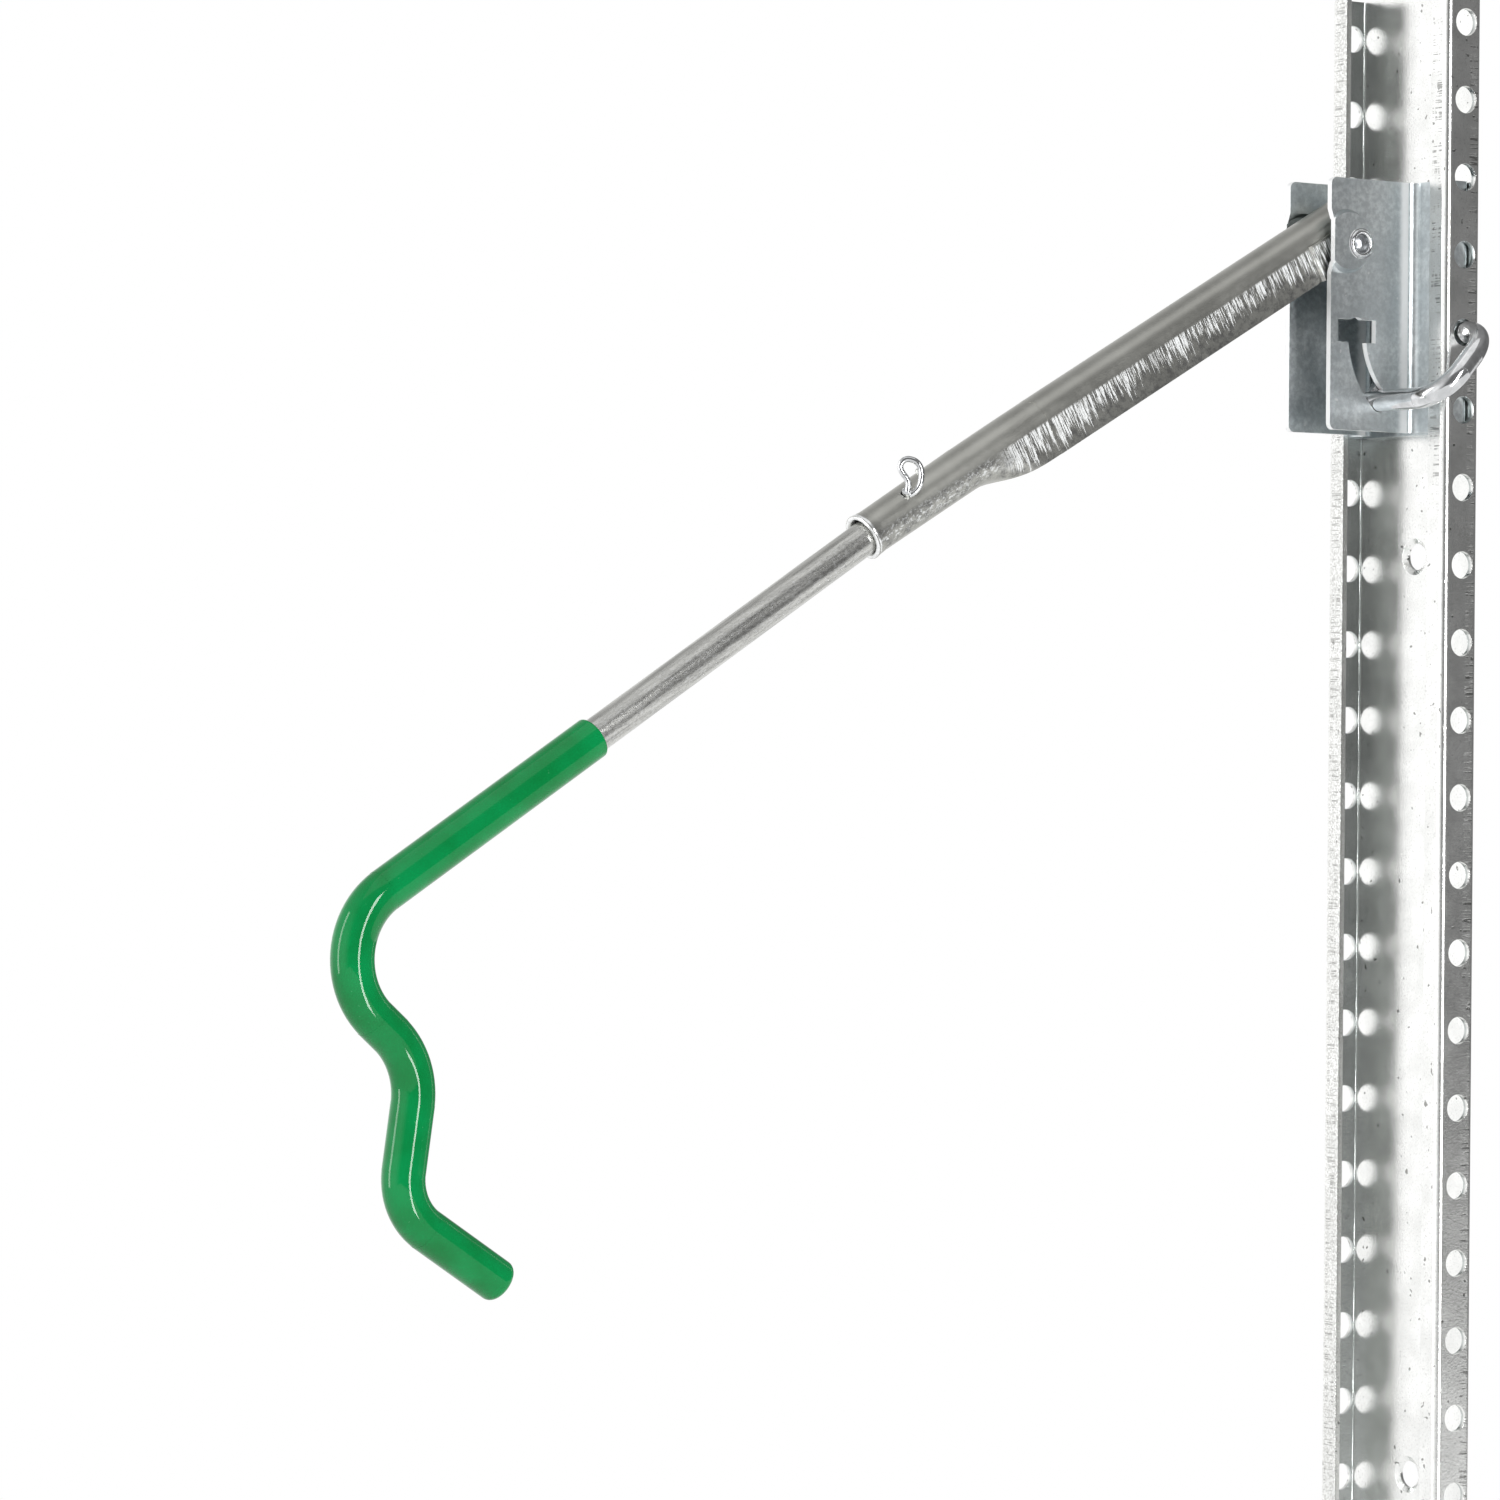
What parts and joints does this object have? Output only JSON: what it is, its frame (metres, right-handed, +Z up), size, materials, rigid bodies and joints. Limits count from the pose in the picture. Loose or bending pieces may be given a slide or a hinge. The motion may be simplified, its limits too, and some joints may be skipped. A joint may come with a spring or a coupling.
{
  "type": "wall bike holder",
  "caption": "Perforated wall rail with a sliding bracket, a wire latch and a tilting arm that ends in a soft-coated hook.",
  "frame": {"origin": "on the wall plane, midway between the two wall screws", "axes": "+X into the wall, the arm reaches towards -X; +Y across the rail, away from the latch's side; +Z up along the rail"},
  "size_m": [0.4082, 0.0745, 0.5],
  "materials": {
    "rail_steel": "galvanised, matt",
    "bracket_zinc": "zinc plated, satin",
    "arm_steel": "galvanised, satin with rolling marks",
    "rod_steel": "galvanised, satin",
    "bright_zinc": "bright zinc plated",
    "green_coat": "glossy soft coating",
    "black_fibre": "matt black"
  },
  "bodies": {
    "mount": {"wall_rail": "rail_steel", "bracket": "bracket_zinc", "friction_washers": "black_fibre", "pivot_rivet": "bright_zinc"},
    "arm": {"swing_arm": "arm_steel", "pivot_bush": "bright_zinc", "hook_rod": "rod_steel", "grip_sleeve": "green_coat", "split_pin": "bright_zinc"},
    "latch": {"latch_pin": "bright_zinc"}
  },
  "joints": [
    {"name": "arm_tilt", "type": "hinge", "parent": "mount", "child": "arm", "pos_m": [-0.037, 0, 0.2495], "axis": [0, 1, 0], "range_deg": [-30.5, 29.5]},
    {"name": "latch_swing", "type": "hinge", "parent": "mount", "child": "latch", "pos_m": [-0.007, -0.025, 0.2215], "axis": [0, 1, 0], "range_deg": [0, 47.5]}
  ]
}
